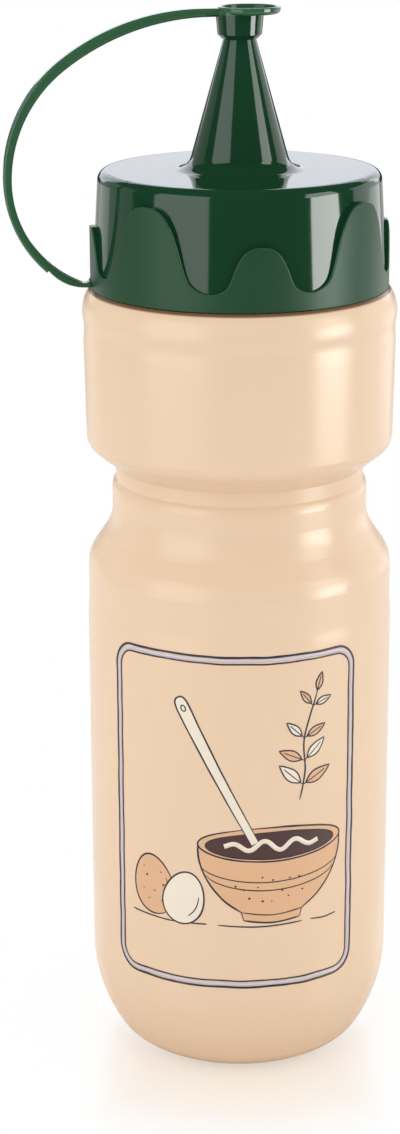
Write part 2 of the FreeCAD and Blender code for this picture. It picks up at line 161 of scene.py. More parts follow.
Key = Union[str, int]
Feed = Union[Value, bpy.types.NodeSocket, bpy.types.ID, float, int, bool, str, tuple]
Settings = Optional[Mapping[str, object]]
Inputs = Optional[Mapping[Key, Feed]]


def socket_of(sockets: Sequence[bpy.types.NodeSocket], key: Key) -> bpy.types.NodeSocket:
    """The socket with this identifier, or else with this name or index."""
    known = [socket for socket in sockets if socket.identifier == key]
    return known[0] if known else sockets[key]


class Graph:
    """Adds nodes to one shader or geometry tree."""

    def __init__(self, tree: bpy.types.NodeTree) -> None:
        """Works on this tree."""
        self.tree = tree

    def node(self, kind: str, settings: Settings = None, inputs: Inputs = None) -> bpy.types.Node:
        """Adds a node.

        Args:
            kind: the node's type name.
            settings: properties, set before any socket.
            inputs: a number, colour, data block or link for each socket, by
                identifier, name or index.

        Returns:
            The new node.
        """
        node = self.tree.nodes.new(kind)
        for name, setting in (settings or {}).items():
            setattr(node, name, setting)
        for key, feed in (inputs or {}).items():
            target = socket_of(node.inputs, key)
            if isinstance(feed, Value):
                feed = feed.socket
            if isinstance(feed, bpy.types.NodeSocket):
                self.tree.links.new(feed, target)
            else:
                target.default_value = feed
        return node

    def out(
        self, kind: str, settings: Settings = None, inputs: Inputs = None, output: Key = 0
    ) -> bpy.types.NodeSocket:
        """Adds a node as node() does, and returns one of its outputs."""
        return socket_of(self.node(kind, settings, inputs).outputs, output)

    def value(
        self, kind: str, settings: Settings = None, inputs: Inputs = None, output: Key = 0
    ) -> Value:
        """Adds a node as node() does, and returns one of its outputs as a value."""
        return Value(self, self.out(kind, settings, inputs, output))

    def axes(self, vector: bpy.types.NodeSocket) -> tuple[Value, Value, Value]:
        """The three numbers of a vector socket."""
        node = self.node("ShaderNodeSeparateXYZ", None, {0: vector})
        return tuple(Value(self, output) for output in node.outputs)

    def vector(self, x: Feed, y: Feed, z: Feed) -> bpy.types.NodeSocket:
        """A vector socket made of three numbers."""
        return self.out("ShaderNodeCombineXYZ", None, {0: x, 1: y, 2: z})

    def cloud(
        self, place: Feed, per_metre: float, detail: float, seed: Feed, output: str = "Fac"
    ) -> bpy.types.NodeSocket:
        """Noise from 0 to 1.

        Args:
            place: where it is read.
            per_metre: how many cells a metre holds.
            detail: octaves of finer noise.
            seed: which pattern.
            output: "Fac" for one number, "Color" for three.

        Returns:
            That output's socket.
        """
        return self.out(
            "ShaderNodeTexNoise",
            {"noise_dimensions": "4D"},
            {"Vector": place, "W": seed, "Scale": per_metre, "Detail": detail},
            output,
        )

    def blend(self, mask: Feed, low: Feed, high: Feed) -> bpy.types.NodeSocket:
        """Mixes two colours.

        Args:
            mask: 0 for the first colour, 1 for the second.
            low: the first colour.
            high: the second colour.

        Returns:
            The mixed colour's socket.
        """
        return self.out(
            "ShaderNodeMix",
            {"data_type": "RGBA"},
            {"Factor_Float": mask, "A_Color": low, "B_Color": high},
            "Result_Color",
        )


def shade(colour: Colour, amount: float = 1.0) -> tuple[float, float, float, float]:
    """A colour made lighter or darker by this factor, with full alpha."""
    return (*(min(1.0, channel * amount) for channel in colour), 1.0)


class SurfaceGraph(Graph):
    """The shader tree of one new material, with its object coordinates at hand."""

    def __init__(self, name: str) -> None:
        """Makes an empty material.

        Args:
            name: the material's name.
        """
        self.material = bpy.data.materials.new(name)
        self.material.use_nodes = True
        self.material.node_tree.nodes.clear()
        super().__init__(self.material.node_tree)
        self.place = self.out("ShaderNodeTexCoord", None, None, "Object")

    def noise(self, per_metre: float, detail: float, seed: float) -> Value:
        """Noise from 0 to 1 on the object's own coordinates."""
        return Value(self, self.cloud(self.place, per_metre, detail, seed))

    def varied(self, mask: Feed, colour: Colour, spread: float) -> bpy.types.NodeSocket:
        """A colour that is darker by this share where the mask is 0, lighter where it is 1."""
        return self.blend(mask, shade(colour, 1 - spread), shade(colour, 1 + spread))

    def bump(self, height: Value, depth: float) -> bpy.types.NodeSocket:
        """A normal from a relief from 0 to 1 that is this deep, in metres."""
        inputs = {"Strength": 1.0, "Distance": depth, "Height": height}
        return self.out("ShaderNodeBump", None, inputs)

    def plastic(self, inputs: Inputs) -> bpy.types.NodeSocket:
        """A Principled shader with these inputs."""
        return self.out("ShaderNodeBsdfPrincipled", None, inputs)

    def mixed(self, mask: Feed, first: Feed, second: Feed) -> bpy.types.NodeSocket:
        """The first shader where the mask is 0, the second where it is 1."""
        return self.out("ShaderNodeMixShader", None, {0: mask, 1: first, 2: second})

    def finish(self, shader: bpy.types.NodeSocket) -> bpy.types.Material:
        """Ends the tree in this shader and returns the material."""
        self.node("ShaderNodeOutputMaterial", None, {"Surface": shader})
        return self.material


class GrowthGraph(Graph):
    """A new geometry tree, with its inputs at hand by name."""

    def __init__(self, name: str, inputs: Sequence[tuple[str, str, Optional[float]]]) -> None:
        """Makes the tree, with a Geometry input and output.

        Args:
            name: the tree's name.
            inputs: name, socket type and default of each further input.
        """
        super().__init__(bpy.data.node_groups.new(name, "GeometryNodeTree"))
        shape = ("Geometry", "NodeSocketGeometry", None)
        for way, sockets in (("INPUT", (shape, *inputs)), ("OUTPUT", (shape,))):
            for label, kind, default in sockets:
                socket = self.tree.interface.new_socket(label, in_out=way, socket_type=kind)
                if default is not None:
                    socket.default_value = default
        self.start = self.node("NodeGroupInput")

    def given(self, name: str) -> Value:
        """The tree's input of this name."""
        return Value(self, self.start.outputs[name])

    def position(self) -> bpy.types.NodeSocket:
        """Where each point is."""
        return self.out("GeometryNodeInputPosition")

    def finish(self, geometry: bpy.types.NodeSocket) -> bpy.types.NodeTree:
        """Ends the tree in this geometry and returns it."""
        self.node("NodeGroupOutput", None, {"Geometry": geometry})
        return self.tree


# --- finishes


@dataclass(frozen=True)
class BlownPlastic:
    """Satin blown plastic of the bottle, with a painted brown shadow line where the cap sits down."""

    colour: Colour = (0.808, 0.593, 0.408)
    drift: float = 0.018
    drift_per_metre: float = 22.0
    roughness: float = 0.26
    roughness_swing: float = 0.05
    ior: float = 1.43
    peel_per_metre: float = 420.0
    peel_depth: float = 0.00002
    grain_per_metre: float = 2520.0
    grain_share: float = 0.2
    parting_width: float = 0.0005
    parting_depth: float = 0.00005
    painted_seat_shadow_colour: Colour = (0.165, 0.085, 0.036)
    painted_seat_shadow_band: Span = (0.17055, 0.17105)

    def material(self) -> bpy.types.Material:
        """Builds the finish.

        Returns:
            A material with a slow drift of colour, the fine peel of blown
            plastic, the mould's parting line up both sides and a painted brown
            shadow line where the cap sits down.
        """
        g = SurfaceGraph("blown_cream")
        _, y, z = g.axes(g.place)
        cloud = g.noise(self.drift_per_metre, detail=3.0, seed=1.0)
        peel = g.noise(self.peel_per_metre, detail=2.0, seed=2.0)
        grain = g.noise(self.grain_per_metre, detail=1.0, seed=3.0)
        parting = 1.0 - abs(y).ramp(0.0, self.parting_width)
        relief = peel * (1 - self.grain_share) + grain * self.grain_share
        height = relief + parting * (self.parting_depth / self.peel_depth)
        cream = g.varied(cloud, self.colour, self.drift)
        return g.finish(
            g.plastic(
                {
                    # Painted shadow: a dark brown band on the bottle's top edge where the cap sits down,
                    # set by height.
                    "Base Color": g.blend(z.ramp(*self.painted_seat_shadow_band), cream, shade(self.painted_seat_shadow_colour)),
                    "Roughness": self.roughness + (grain - 0.5) * self.roughness_swing,
                    "IOR": self.ior,
                    "Normal": g.bump(height, self.peel_depth),
                }
            )
        )


@dataclass(frozen=True)
class MouldedPlastic:
    """Deep green moulded plastic of the cap: polished, with a satin apron."""

    colour: Colour = (0.0066, 0.0445, 0.0178)
    colour_spread: float = 0.06
    flow_per_metre: float = 60.0
    gloss: float = 0.07
    gloss_swing: float = 0.02
    ripple_per_metre: float = 150.0
    ripple_depth: float = 0.0000045
    apron_colour: Colour = (0.0098, 0.0615, 0.0240)
    apron_spread: float = 0.08
    apron_inner: Span = (0.03135, 0.03145)
    apron_outer: Span = (0.03175, 0.03185)
    satin: float = 0.40
    satin_swing: float = 0.08
    satin_level: float = 0.3
    grain_per_metre: float = 3400.0
    grain_depth: float = 0.000018
    painted_edge_highlight_colour: Colour = (0.0420, 0.1200, 0.0640)
    painted_edge_highlight_inner: Span = (0.03118, 0.03124)
    deck_level: Span = (0.1958, 0.1968)
    painted_through_light_colour: Colour = (0.0340, 0.1080, 0.0500)
    painted_through_light_spread: float = 0.10
    strap_out: Span = (0.0325, 0.0345)
    strap_up: Span = (0.2120, 0.2140)
    plug_rim: Span = (0.0068, 0.0076)
    tab_up: Span = (0.2272, 0.2276)

    def material(self) -> bpy.types.Material:
        """Builds the finish.

        Returns:
            A material that is polished, with painted light on the thin strap and
            tab where light would shine through them and a painted highlight on
            the apron's edge, and satin with a fine spark grain where the surface
            lies at the apron's radius.
        """
        g = SurfaceGraph("moulded_green")
        x, y, z = g.axes(g.place)
        radius = (x * x + y * y).root()
        over = z.ramp(*self.strap_up) * radius.ramp(*self.plug_rim)
        # Painted light: the thin strap and tab are lighter, as if light shone through the thin plastic.
        thin = (-x).ramp(*self.strap_out).most(over).most(z.ramp(*self.tab_up))
        skirt = 1.0 - z.ramp(*self.deck_level)
        apron = radius.ramp(*self.apron_inner) * (1.0 - radius.ramp(*self.apron_outer)) * skirt
        # Painted highlight: a lighter green on the rounded edge of the apron's scallops, where light
        # catches it.
        edge = radius.ramp(*self.painted_edge_highlight_inner) * skirt
        flow = g.noise(self.flow_per_metre, detail=2.0, seed=4.0)
        grain = g.noise(self.grain_per_metre, detail=2.0, seed=5.0)
        ripple = g.noise(self.ripple_per_metre, detail=1.0, seed=6.0)
        deep = g.varied(flow, self.colour, self.colour_spread)
        pale = g.varied(flow, self.painted_through_light_colour, self.painted_through_light_spread)
        polished = g.plastic(
            {
                "Base Color": g.blend(thin, g.blend(edge, deep, shade(self.painted_edge_highlight_colour)), pale),
                "Roughness": self.gloss + flow * self.gloss_swing,
                "Normal": g.bump(ripple, self.ripple_depth),
            }
        )
        sparked = g.plastic(
            {
                "Base Color": g.varied(grain, self.apron_colour, self.apron_spread),
                "Roughness": self.satin + (grain - 0.5) * self.satin_swing,
                "Specular IOR Level": self.satin_level,
                "Normal": g.bump(grain, self.grain_depth),
            }
        )
        return g.finish(g.mixed(apron, polished, sparked))


class Ink(Enum):
    """The screens of the print, with the height each lies at, in millimetres."""

    TAN = 0.030
    BROWN = 0.036
    CREAM = 0.042
    LILAC = 0.034
    NAVY = 0.056

    @property
    def top(self) -> float:
        """Outer height above the wall, in metres."""
        return self.value * MM


@dataclass(frozen=True)
class InkFinish:
    """A screen ink: matt beside the plastic, a little uneven where it was drawn."""

    ink: Ink
    colour: Colour
    roughness: float = 0.42
    roughness_swing: float = 0.08
    mottle: float = 0.06
    cloud_per_metre: float = 112.5
    mesh_per_metre: float = 2700.0
    mesh_share: float = 0.3
    relief: float = 0.000006

    def material(self) -> bpy.types.Material:
        """Builds the finish.

        Returns:
            A material with the mottle and slight relief of a screened ink.
        """
        g = SurfaceGraph("ink_" + self.ink.name.lower())
        cloud = g.noise(self.cloud_per_metre, detail=3.0, seed=7.0)
        mesh = g.noise(self.mesh_per_metre, detail=1.0, seed=8.0)
        mask = cloud * (1 - self.mesh_share) + mesh * self.mesh_share
        return g.finish(
            g.plastic(
                {
                    "Base Color": g.varied(mask, self.colour, self.mottle),
                    "Roughness": self.roughness + (mesh - 0.5) * self.roughness_swing,
                    "Normal": g.bump(mesh, self.relief),
                }
            )
        )


INKS = (
    InkFinish(Ink.TAN, (0.730, 0.430, 0.240)),
    InkFinish(Ink.CREAM, (0.840, 0.740, 0.600)),
    InkFinish(Ink.BROWN, (0.066, 0.020, 0.018)),
    InkFinish(Ink.LILAC, (0.640, 0.560, 0.590)),
    InkFinish(Ink.NAVY, (0.021, 0.020, 0.040), mottle=0.25),
)


# --- drawing tools


def turned(centre: Point, u: float, z: float, tilt: float) -> Point:
    """The point (u, z) of a shape that is tilted and has its middle here.

    Args:
        centre: the shape's middle.
        u: how far right of the middle the point is before the tilt.
        z: how far above the middle it is before the tilt.
        tilt: how far the shape is turned anticlockwise, in degrees.

    Returns:
        The point's place.
    """
    turn = math.radians(tilt)
    return (
        centre[0] + u * math.cos(turn) - z * math.sin(turn),
        centre[1] + u * math.sin(turn) + z * math.cos(turn),
    )


def ellipse(
    centre: Point,
    radii: Point,
    start: float = 0.0,
    end: float = 360.0,
    tilt: float = 0.0,
    steps: int = 72,
) -> Line:
    """Points along an ellipse or an arc of one.

    Args:
        centre: its middle.
        radii: its half width and half height.
        start: first angle, in degrees from the right, anticlockwise.
        end: last angle; 360 more than start for a whole ellipse.
        tilt: how far it is turned anticlockwise, in degrees.
        steps: how many steps the arc is cut into.

    Returns:
        The points; a whole ellipse doesn't repeat its first.
    """
    whole = end - start == 360.0
    points = []
    for i in range(steps if whole else steps + 1):
        angle = math.radians(start + (end - start) * i / steps)
        u, z = radii[0] * math.cos(angle), radii[1] * math.sin(angle)
        points.append(turned(centre, u, z, tilt))
    return points


def between(a: float, b: float, c: float, d: float, t: float) -> float:
    """The smooth curve from b to c at the share t, where a comes before and d after."""
    bend = 2 * a - 5 * b + 4 * c - d + t * (3 * (b - c) + d - a)
    return b + 0.5 * t * (c - a + t * bend)


def eased(points: Sequence[Point], steps: int = 8) -> Line:
    """A smooth line through a few points.

    Args:
        points: what the line passes through.
        steps: steps between two points.

    Returns:
        The points of the line.
    """
    last = len(points) - 1
    line: Line = []
    for i in range(last):
        near = [points[min(max(i + k, 0), last)] for k in (-1, 0, 1, 2)]
        for j in range(steps):
            line.append(tuple(between(*numbers, j / steps) for numbers in zip(*near)))
    return [*line, tuple(points[-1])]


def sagging(across: tuple[float, float, float], level: float, sag: float) -> Line:
    """A shallow line over three places, lower by the sag at the second."""
    return eased(list(zip(across, (level, level - sag, level))))


def inside(point: Point, outline: Line) -> bool:
    """Whether a point lies within a closed outline.

    Args:
        point: the point.
        outline: the outline's points, the first not repeated.

    Returns:
        True if it does.
    """
    found = False
    for (u0, z0), (u1, z1) in zip(outline, [*outline[1:], outline[0]]):
        if (z0 > point[1]) != (z1 > point[1]):
            if point[0] < u0 + (u1 - u0) * (point[1] - z0) / (z1 - z0):
                found = not found
    return found


@dataclass(frozen=True)
class Stroke:
    """A drawn line."""

    points: Line
    width: float
    closed: bool = False
    ink: Ink = Ink.NAVY

    def runs(self, cover: Line, step: float = 0.25) -> list["Stroke"]:
        """The parts of the line that a nearer shape leaves showing.

        Args:
            cover: outline that hides what is under it.
            step: how finely the line is cut.

        Returns:
            The whole line if the shape hides none of it, else its open parts.
        """
        ends = [*self.points[1:], *self.points[:1]] if self.closed else self.points[1:]
        fine: Line = []
        for (u0, z0), (u1, z1) in zip(self.points, ends):
            parts = max(1, round(math.hypot(u1 - u0, z1 - z0) / step))
            for i in range(parts):
                fine.append((u0 + (u1 - u0) * i / parts, z0 + (z1 - z0) * i / parts))
        if not self.closed:
            fine.append(self.points[-1])
        shown = [not inside(p, cover) for p in fine]
        if all(shown):
            return [self]
        if self.closed and shown[0]:
            turn = shown.index(False)
            fine, shown = fine[turn:] + fine[:turn], shown[turn:] + shown[:turn]
        runs: list[Line] = [[]]
        for p, seen in zip(fine, shown):
            if seen:
                runs[-1].append(p)
            elif runs[-1]:
                runs.append([])
        return [Stroke(run, self.width, False, self.ink) for run in runs if len(run) > 2]


@dataclass(frozen=True)
class Field:
    """A field of flat colour inside an outline."""

    outline: Line
    ink: Ink


@dataclass
class Drawing:
    """The strokes and fields of one motif, from the back to the front."""

    strokes: list[Stroke] = field(default_factory=list)
    fields: list[Field] = field(default_factory=list)
    specked: list[Line] = field(default_factory=list)

    def cover(self, outline: Line) -> None:
        """Hides the strokes that are already drawn under this outline."""
        self.strokes = [run for s in self.strokes for run in s.runs(outline)]

    def add(self, other: "Drawing") -> None:
        """Lays another drawing on this one.

        Args:
            other: the nearer drawing.
        """
        for shape in other.fields:
            self.cover(shape.outline)
        self.strokes += other.strokes
        self.fields += other.fields
        self.specked += other.specked


class Motif(Protocol):
    """Something that the print shows."""

    def draw(self) -> Drawing:
        """Its strokes and fields."""


# --- motifs


@dataclass(frozen=True)
class Border:
    """Rounded double rule with a pale band between, round the whole panel."""

    left: float = -29.8
    right: float = 27.2
    low: float = 23.6
    high: float = 99.4
    corner: float = 5.2
    least_corner: float = 1.0
    rule: float = 0.46
    inner_rule: float = 0.32
    band: float = 0.80
    gap: float = 1.50

    def loop(self, inset: float) -> Line:
        """A rounded rectangle.

        Args:
            inset: how far inside the outer rule it runs.

        Returns:
            Its points, anticlockwise from the upper right corner.
        """
        radius = max(self.least_corner, self.corner - inset)
        left, right = self.left + inset + radius, self.right - inset - radius
        low, high = self.low + inset + radius, self.high - inset - radius
        points: Line = []
        for i, centre in enumerate(((right, high), (left, high), (left, low), (right, low))):
            start = i * QUARTER
            points += ellipse(centre, (radius, radius), start, start + QUARTER, steps=8)
        return points

    def draw(self) -> Drawing:
        """Draws the border.

        Returns:
            The two rules, and the pale band as a broad closed stroke.
        """
        return Drawing(
            [
                Stroke(self.loop(0.0), self.rule, True),
                Stroke(self.loop(self.gap), self.inner_rule, True),
                Stroke(self.loop(self.gap / 2), self.band, True, Ink.LILAC),
            ]
        )


@dataclass(frozen=True)
class Bowl:
    """A deep bowl of dark sauce with a ripple of cream."""

    centre: Point = (7.2, 57.0)
    rim: Point = (16.2, 3.9)
    shape: tuple[Point, ...] = ((1.0, 0.0), (0.975, 0.26), (0.86, 0.55), (0.65, 0.82), (0.41, 1.0))
    lip: Point = (1.7, 0.8)
    sauce_drop: float = 0.25
    depth: float = 15.6
    waist_sag: float = 0.8
    foot: float = 6.2
    foot_rise: float = 1.9
    foot_sag: float = 0.7
    bands: tuple[tuple[float, float, float, float], ...] = (
        (4.6, 0.965, 4.1, 188.0),
        (6.4, 0.90, 4.2, 190.0),
    )
    band_line: float = 0.24
    inner_line: float = 0.26
    outer_line: float = 0.36
    foot_line: float = 0.38
    near_line: float = 0.40
    ripple_reach: float = 10.4
    ripple_drop: float = 0.2
    ripple_rise: float = 1.15
    ripple_waves: float = 3.0
    ripple_steps: int = 60
    ripple_line: float = 1.05
    speck_drop: float = 10.2
    speck_radii: Point = (8.6, 3.0)

    def side(self, sign: float) -> Line:
        """One side of the bowl.

        Args:
            sign: -1 for the left side, 1 for the right.

        Returns:
            Its line from the rim to the waist above the foot.
        """
        u, z = self.centre
        return eased([(u + sign * self.rim[0] * a, z - self.depth * d) for a, d in self.shape])

    def base(self) -> Line:
        """The line that the foot stands on."""
        u, z = self.centre
        return sagging((u - self.foot, u, u + self.foot), z - self.depth - self.foot_rise, self.foot_sag)

    def waist(self) -> Line:
        """The line where the foot meets the bowl."""
        u, half = self.centre[0], self.rim[0] * self.shape[-1][0]
        return sagging((u - half, u, u + half), self.centre[1] - self.depth, self.waist_sag)

    def outline(self) -> Line:
        """The whole bowl.

        Returns:
            Its outline: down the left, along the foot, up, round the rim.
        """
        right = self.side(1.0)
        back = ellipse(self.centre, self.rim, 0.0, 2 * QUARTER, steps=48)
        return [*self.side(-1.0), *self.base(), *reversed(right[1:]), *back[:-1]]

    def ripple(self) -> Line:
        """The ripple of cream.

        Returns:
            A wave that dies out at both ends.
        """
        u, z = self.centre
        count = self.ripple_steps
        points = []
        for i in range(count + 1):
            wave = self.ripple_rise * math.sin(i / count * math.tau * self.ripple_waves)
            fade = math.sin(math.pi * i / count) ** 0.5
            at = u - self.ripple_reach + 2 * self.ripple_reach * i / count
            points.append((at, z - self.ripple_drop + wave * fade))
        return points

    def draw(self) -> Drawing:
        """Draws the bowl.

        Returns:
            Its fields, lines and the patch that has specks.
        """
        u, z = self.centre
        sauce = ellipse(
            (u, z - self.sauce_drop), (self.rim[0] - self.lip[0], self.rim[1] - self.lip[1])
        )
        base = self.base()
        drawing = Drawing(
            [
                Stroke(ellipse(self.centre, self.rim), self.outer_line, True),
                Stroke(sauce, self.inner_line, True),
                Stroke([*self.side(-1.0), base[0]], self.near_line),
                Stroke([*self.side(1.0), base[-1]], self.outer_line),
                Stroke(base, self.foot_line),
                Stroke(self.waist(), self.inner_line),
            ],
            [Field(self.outline(), Ink.TAN), Field(sauce, Ink.BROWN)],
            [ellipse((u, z - self.speck_drop), self.speck_radii)],
        )
        for drop, across, tall, start in self.bands:
            radii = (self.rim[0] * across, tall)
            arc = ellipse((u, z - drop), radii, start, 2 * LOWEST - start, steps=40)
            drawing.strokes.append(Stroke(arc, self.band_line))
        drawing.strokes.append(Stroke(self.ripple(), self.ripple_line, False, Ink.CREAM))
        return drawing


@dataclass(frozen=True)
class Spoon:
    """The handle of a wooden spoon that leans out of the bowl."""

    foot: Point = (3.4, 57.4)
    tip: Point = (-12.6, 88.6)
    foot_width: float = 1.7
    tip_width: float = 2.9
    stations: tuple[Point, ...] = ((0.0, 0.5), (0.45, 0.47), (0.82, 0.5), (1.0, 0.47))
    tip_round: float = 0.46
    line: float = 0.34
    hole_in: float = 1.3
    hole: Point = (0.75, 0.5)
    hole_line: float = 0.26

    def reach(self) -> Vector:
        """From the foot to the tip."""
        return Vector(self.tip) - Vector(self.foot)

    def outline(self) -> Line:
        """The handle.

        Returns:
            Its open outline, up one side, round the end and down the other.
        """
        length, along = self.reach().length, self.reach().normalized()
        across = Vector((-along.y, along.x))
        left, right = [], []
        for share, half in self.stations:
            width = self.foot_width + (self.tip_width - self.foot_width) * share
            middle = Vector(self.foot) + along * (length * share)
            left.append(tuple(middle + across * width * half))
            right.append(tuple(middle - across * width * half))
        end = tuple(Vector(self.tip) + along * self.tip_width * self.tip_round)
        return eased([*left, end, *reversed(right)])

    def draw(self) -> Drawing:
        """Draws the handle.

        Returns:
            Its field and outline, and its hanging hole.
        """
        along = self.reach().normalized()
        outline = self.outline()
        tilt = math.degrees(math.atan2(along.y, along.x))
        hole = ellipse(tuple(Vector(self.tip) - along * self.hole_in), self.hole, tilt=tilt, steps=24)
        return Drawing(
            [Stroke(outline, self.line), Stroke(hole, self.hole_line, True)],
            [Field(outline, Ink.CREAM)],
        )


@dataclass(frozen=True)
class Egg:
    """An egg that stands on its blunt end."""

    centre: Point
    radii: Point
    tilt: float
    ink: Ink
    specks: bool = False
    taper: float = 0.13
    steps: int = 64
    line: float = 0.36
    shade_share: Point = (0.72, 0.74)
    shade_arc: Span = (305.0, 378.0)
    shade_line: float = 0.24
    speck_share: float = 0.7

    def outline(self) -> Line:
        """The egg.

        Returns:
            Its outline, narrower at the top.
        """
        points = []
        for i in range(self.steps):
            angle = math.tau * i / self.steps
            u = self.radii[0] * math.cos(angle) * (1 - self.taper * math.sin(angle))
            points.append(turned(self.centre, u, self.radii[1] * math.sin(angle), self.tilt))
        return points

    def within(self, share: Point, *arc: float, steps: int = 72) -> Line:
        """An ellipse or an arc of one inside the egg, with this share of its radii."""
        radii = (self.radii[0] * share[0], self.radii[1] * share[1])
        return ellipse(self.centre, radii, *arc, tilt=self.tilt, steps=steps)

    def draw(self) -> Drawing:
        """Draws the egg.

        Returns:
            Its field, outline and shade line, and its speckled patch if it has one.
        """
        outline = self.outline()
        crescent = self.within(self.shade_share, *self.shade_arc, steps=20)
        return Drawing(
            [Stroke(outline, self.line, True), Stroke(crescent, self.shade_line)],
            [Field(outline, self.ink)],
            [self.within((self.speck_share, self.speck_share))] if self.specks else [],
        )


@dataclass(frozen=True)
class Sprig:
    """A stalk of kitchen herb with leaves in pairs."""

    stem: tuple[Point, ...] = ((13.2, 66.6), (14.4, 73.0), (14.2, 80.5), (17.0, 90.0))
    stem_line: float = 0.34
    pairs: int = 4
    first_pair: float = 0.20
    pair_step: float = 0.22
    shrink: float = 0.13
    left_turn: float = 58.0
    right_turn: float = -52.0
    top_turn: float = 74.0
    top_scale: float = 0.62
    leaf: float = 6.6
    leaf_width: float = 2.5
    leaf_shape: tuple[Point, ...] = ((0.0, 0.0), (0.25, 0.82), (0.5, 1.0), (0.8, 0.52), (1.0, 0.0))
    leaf_line: float = 0.30
    stalklet: float = 0.7
    rib: tuple[float, ...] = (0.45, 0.8)
    rib_line: float = 0.22

    def leaf_at(self, root: Point, angle: float, scale: float) -> tuple[Line, Line]:
        """One leaf.

        Args:
            root: where it leaves the stalk.
            angle: the way it points, in degrees.
            scale: its size against the full leaf.

        Returns:
            Its outline and its rib.
        """
        way = Vector((math.cos(math.radians(angle)), math.sin(math.radians(angle))))
        across = Vector((-way.y, way.x))
        length, half = self.leaf * scale, self.leaf_width * scale / 2
        start = Vector(root) + way * self.stalklet
        upper, lower = (
            eased([tuple(start + way * length * s + across * half * w * side) for s, w in self.leaf_shape])
            for side in (1, -1)
        )
        rib = eased([root, *(tuple(start + way * length * share) for share in self.rib)])
        return [*upper, *lower[-2:0:-1]], rib

    def draw(self) -> Drawing:
        """Draws the sprig.

        Returns:
            The stalk, the leaves in pairs and one at the top.
        """
        stalk = eased(self.stem, steps=12)
        drawing = Drawing([Stroke(stalk, self.stem_line)])
        leaves = []
        for pair in range(self.pairs):
            index = round(len(stalk) * (self.first_pair + self.pair_step * pair))
            root, ahead = stalk[index], stalk[min(index + 2, len(stalk) - 1)]
            heading = math.degrees(math.atan2(ahead[1] - root[1], ahead[0] - root[0]))
            scale = 1.0 - self.shrink * pair
            inks = (Ink.TAN, Ink.CREAM) if pair % 2 else (Ink.CREAM, Ink.TAN)
            for turn, ink in zip((self.left_turn, self.right_turn), inks):
                leaves.append((root, heading + turn, scale, ink))
        leaves.append((stalk[-1], self.top_turn, self.top_scale, Ink.TAN))
        for root, angle, scale, ink in leaves:
            outline, rib = self.leaf_at(root, angle, scale)
            drawing.strokes += [Stroke(outline, self.leaf_line, True), Stroke(rib, self.rib_line)]
            drawing.fields.append(Field(outline, ink))
        return drawing


@dataclass(frozen=True)
class Tabletop:
    """The broken line that the bowl and the eggs stand on."""

    level: float = 38.3
    parts: tuple[Span, ...] = ((-25.4, -7.0), (-4.6, 14.0), (16.0, 22.6))
    sag: float = 0.35
    line: float = 0.30

    def draw(self) -> Drawing:
        """Draws the tabletop.

        Returns:
            One short stroke for each part.
        """
        lines = [sagging((a, (a + b) / 2, b), self.level, self.sag) for a, b in self.parts]
        return Drawing([Stroke(line, self.line) for line in lines])


# --- printed panel


def plain_object(name: str, mesh: bpy.types.Mesh) -> bpy.types.Object:
    """Puts a mesh in the scene, at the origin.

    Args:
        name: the new object's name.
        mesh: its mesh.

    Returns:
        The object.
    """
    piece = bpy.data.objects.new(name, mesh)
    bpy.context.scene.collection.objects.link(piece)
    return piece


def grown(
    source: bpy.types.Object, tree: bpy.types.NodeTree, inputs: Mapping[str, object], name: str
) -> bpy.types.Object:
    """Runs a geometry tree on an object and keeps the result as a plain mesh.

    Args:
        source: what the tree works on; it is removed.
        tree: the geometry tree.
        inputs: the tree's named inputs.
        name: name of the new piece.

    Returns:
        The new piece, with no modifier.
    """
    modifier = source.modifiers.new(tree.name, "NODES")
    modifier.node_group = tree
    for item in tree.interface.items_tree:
        if item.item_type == "SOCKET" and item.in_out == "INPUT" and item.name in inputs:
            modifier[item.identifier] = inputs[item.name]
    bpy.context.view_layer.update()
    depsgraph = bpy.context.evaluated_depsgraph_get()
    mesh = bpy.data.meshes.new_from_object(source.evaluated_get(depsgraph))
    mesh.name = name
    bpy.data.objects.remove(source)
    return plain_object(name, mesh)


